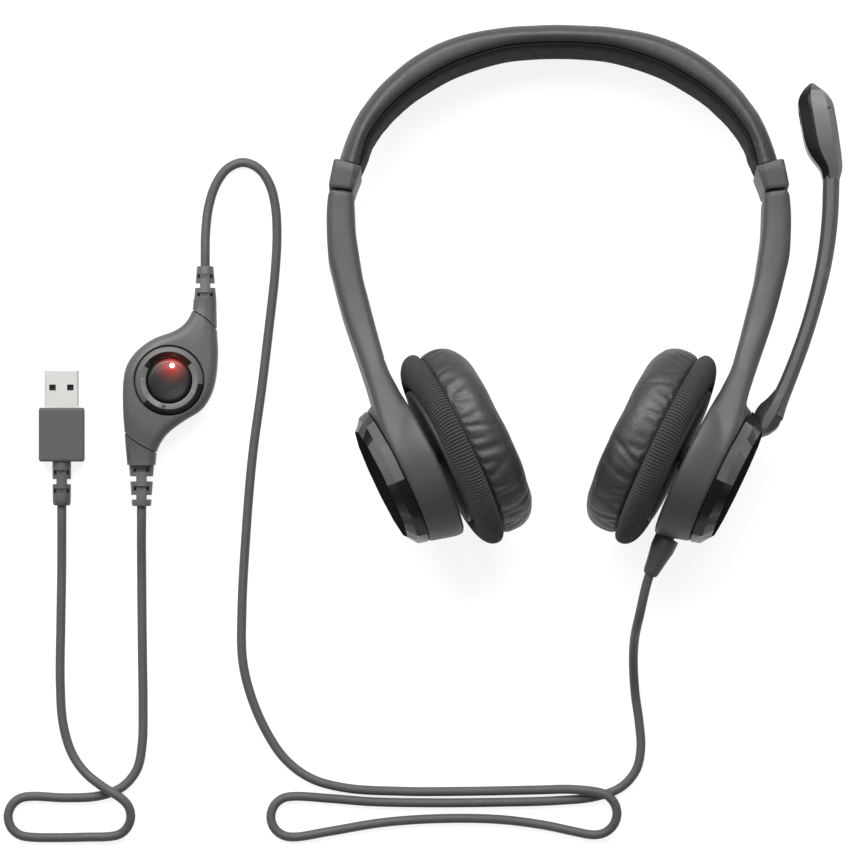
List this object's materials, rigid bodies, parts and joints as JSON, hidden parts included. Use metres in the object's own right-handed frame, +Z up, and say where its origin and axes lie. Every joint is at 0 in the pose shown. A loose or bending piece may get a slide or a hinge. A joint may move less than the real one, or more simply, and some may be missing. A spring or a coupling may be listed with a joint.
{
  "type": "office headset",
  "caption": "On-ear headset lying on its back: padded headband, sliding arms, pivoting knit and leatherette cups, swinging microphone boom, in-line volume and mute control, USB-A plug",
  "frame": {"origin": "middle of the headset's footprint on the surface that it lies on, without the cord and what is on it", "axes": "+X across the headset towards the microphone side, +Y towards the top of the headband, +Z up from the surface, out of the headset's front"},
  "size_m": [0.2957, 0.289, 0.072],
  "materials": {
    "graphite_plastic": "fine moulded texture, satin",
    "gloss_black": "polished, faceted",
    "smoked_gloss": "satin gloss",
    "leatherette": "soft grained leatherette, low sheen",
    "knit": "fine ribbed knit",
    "speaker_cloth": "thin woven cloth",
    "spring_steel": "brushed",
    "magnet_metal": "plated",
    "dark_plastic": "satin",
    "cable_jacket": "matt flexible jacket",
    "nickel": "nickel plate",
    "circuit_board": "solder mask",
    "red_led": "lit red lens"
  },
  "bodies": {
    "right_arm": {"right_arm": "graphite_plastic", "right_slider_strip": "spring_steel", "right_inner_cover": "dark_plastic", "right_ball_socket": "dark_plastic", "boom_bearing": "dark_plastic", "cord_relief": "cable_jacket", "headset_cord": "cable_jacket", "control_rear": "graphite_plastic", "control_front": "graphite_plastic", "control_board": "circuit_board", "mute_switch": "dark_plastic", "control_top_relief": "cable_jacket", "control_bottom_relief": "cable_jacket", "plug_cord": "cable_jacket", "usb_shell": "nickel", "usb_tongue": "dark_plastic", "usb_overmould": "cable_jacket", "usb_relief": "cable_jacket"},
    "headband": {"headband_cover": "leatherette", "headband_pad": "leatherette", "headband_spring": "spring_steel", "left_sleeve": "graphite_plastic", "right_sleeve": "graphite_plastic"},
    "left_arm": {"left_arm": "graphite_plastic", "left_slider_strip": "spring_steel", "left_inner_cover": "dark_plastic", "left_ball_socket": "dark_plastic", "left_outer_cover": "gloss_black"},
    "left_pivot": {"left_pivot_collar": "dark_plastic"},
    "left_cup": {"left_pad_carrier": "graphite_plastic", "left_fabric_ring": "knit", "left_baffle": "dark_plastic", "left_driver": "dark_plastic", "left_driver_magnet": "magnet_metal", "left_ear_cushion": "leatherette", "left_speaker_cloth": "speaker_cloth"},
    "right_pivot": {"right_pivot_collar": "dark_plastic"},
    "right_cup": {"right_pad_carrier": "graphite_plastic", "right_fabric_ring": "knit", "right_baffle": "dark_plastic", "right_driver": "dark_plastic", "right_driver_magnet": "magnet_metal", "right_ear_cushion": "leatherette", "right_speaker_cloth": "speaker_cloth"},
    "boom": {"boom_hub": "gloss_black", "boom_arm": "graphite_plastic", "mic_housing": "gloss_black", "mic_capsule": "magnet_metal", "mic_grille": "dark_plastic"},
    "volume_rocker": {"volume_rocker": "graphite_plastic"},
    "mute_button": {"mute_button": "smoked_gloss", "mute_led": "red_led"}
  },
  "joints": [
    {"name": "right_slider", "type": "slide", "parent": "right_arm", "child": "headband", "axis": [-0.2867, 0.9465, -0.1482], "range_m": [0, 0.02]},
    {"name": "left_slider", "type": "slide", "parent": "headband", "child": "left_arm", "axis": [-0.2867, -0.9465, 0.1482], "range_m": [0, 0.02]},
    {"name": "left_cup_yaw", "type": "hinge", "parent": "left_arm", "child": "left_pivot", "pos_m": [-0.0584, -0.05846, 0.03735], "axis": [-0.4399, 0.8872, -0.1389], "range_deg": [-3.5, 3.5]},
    {"name": "left_cup_tilt", "type": "hinge", "parent": "left_pivot", "child": "left_cup", "pos_m": [-0.0584, -0.05846, 0.03735], "axis": [-0.0282, -0.1683, -0.9853], "range_deg": [-2, 4]},
    {"name": "right_cup_yaw", "type": "hinge", "parent": "right_arm", "child": "right_pivot", "pos_m": [0.0398, -0.05846, 0.03735], "axis": [0.4399, 0.8872, -0.1389], "range_deg": [-3.5, 3.5]},
    {"name": "right_cup_tilt", "type": "hinge", "parent": "right_pivot", "child": "right_cup", "pos_m": [0.0398, -0.05846, 0.03735], "axis": [-0.0282, 0.1683, 0.9853], "range_deg": [-2, 4]},
    {"name": "boom_swing", "type": "hinge", "parent": "right_arm", "child": "boom", "pos_m": [0.04968, -0.06318, 0.03844], "axis": [0.8976, -0.4296, 0.0991], "range_deg": [0, 140]},
    {"name": "volume_rock", "type": "hinge", "parent": "right_arm", "child": "volume_rocker", "pos_m": [-0.1463, -0.0284, 0.0108], "axis": [0.9792, -0.203, 0], "range_deg": [-3, 3], "stiffness_Nm_per_rad": 0.35},
    {"name": "mute_press", "type": "slide", "parent": "right_arm", "child": "mute_button", "axis": [0, 0, -1], "range_m": [0, 0.0006], "stiffness_N_per_m": 1200}
  ]
}
